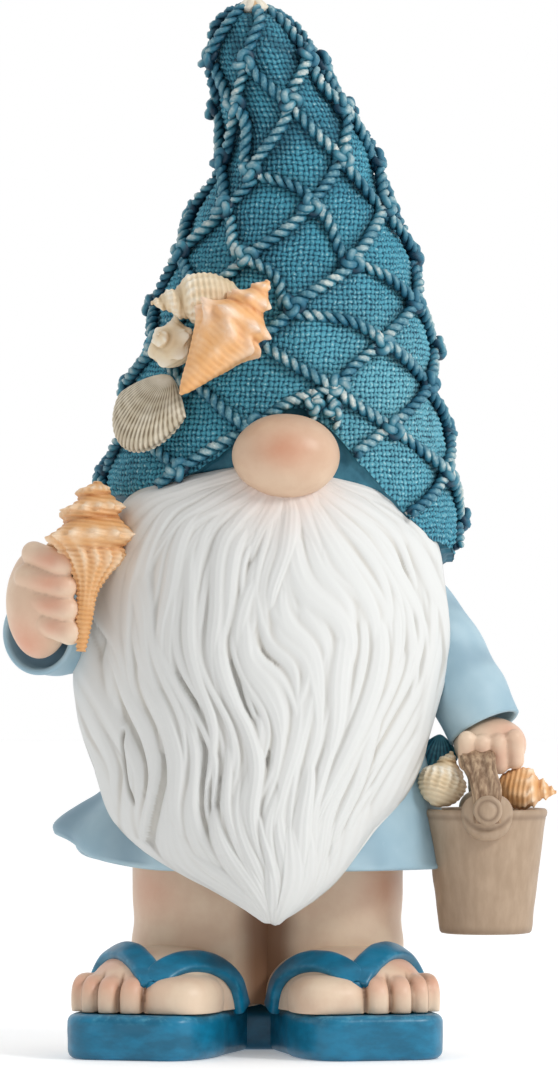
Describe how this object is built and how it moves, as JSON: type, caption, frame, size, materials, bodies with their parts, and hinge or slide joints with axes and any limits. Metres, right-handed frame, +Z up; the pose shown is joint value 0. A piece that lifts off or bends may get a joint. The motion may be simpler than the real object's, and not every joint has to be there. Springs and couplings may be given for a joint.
{
  "type": "garden gnome ornament",
  "caption": "Standing seaside garden gnome: tall netted cone hat with shells, round nose, long beard, conch in one hand, small bucket of shells in the other, flip-flops.",
  "frame": {"origin": "centre of the object's overall footprint box, on the ground plane under the flip-flop soles", "axes": "+Z up, -Y towards the gnome's front, +X towards the gnome's left, where the bucket hangs"},
  "size_m": [0.173, 0.121, 0.33],
  "materials": {
    "hat_teal": "matte hand-painted resin, coarse hessian weave relief, teal-blue with darker washes in the hollows",
    "net_teal": "matte painted resin rope relief, teal with pale dry-brushed highlights on the twists",
    "tip_cream": "matte painted resin, cream",
    "shell_orange": "satin painted resin, orange-tan fading to pinkish white",
    "shell_tan": "matte painted resin, pale tan with brownish washes in the ribs",
    "shell_teal": "matte painted resin, teal",
    "skin_peach": "satin painted resin, peach skin with soft pink airbrushed blush",
    "beard_white": "matte painted resin, white with a faint warm-grey wash between the strands",
    "tunic_blue": "satin painted resin, light steel blue",
    "bucket_tan": "matte painted resin, greyish tan with dark wash in the grain",
    "handle_brown": "matte painted resin, brown, bark-like relief",
    "sandal_teal": "semi-gloss painted resin, deep teal-blue"
  },
  "bodies": {
    "root": {"hat_shell": "hat_teal", "hat_net": "net_teal", "hat_tip_knot": "tip_cream", "hat_conch": "shell_orange", "hat_knob_shell": "shell_tan", "hat_whelk": "shell_tan", "hat_cockle": "shell_tan", "head": "skin_peach", "nose": "skin_peach", "beard": "beard_white", "tunic": "tunic_blue", "right_sleeve": "tunic_blue", "left_sleeve": "tunic_blue", "right_hand": "skin_peach", "held_conch": "shell_orange", "left_hand": "skin_peach", "bucket": "bucket_tan", "bucket_bail": "handle_brown", "bail_lug_front": "bucket_tan", "bail_lug_back": "bucket_tan", "bail_pin_front": "handle_brown", "bail_pin_back": "handle_brown", "bucket_cockle": "shell_tan", "bucket_auger": "shell_orange", "bucket_teal_shell": "shell_teal", "right_leg": "skin_peach", "right_foot": "skin_peach", "right_sole": "sandal_teal", "right_strap": "sandal_teal", "left_leg": "skin_peach", "left_foot": "skin_peach", "left_sole": "sandal_teal", "left_strap": "sandal_teal", "heel_bridge": "sandal_teal"}
  },
  "joints": []
}
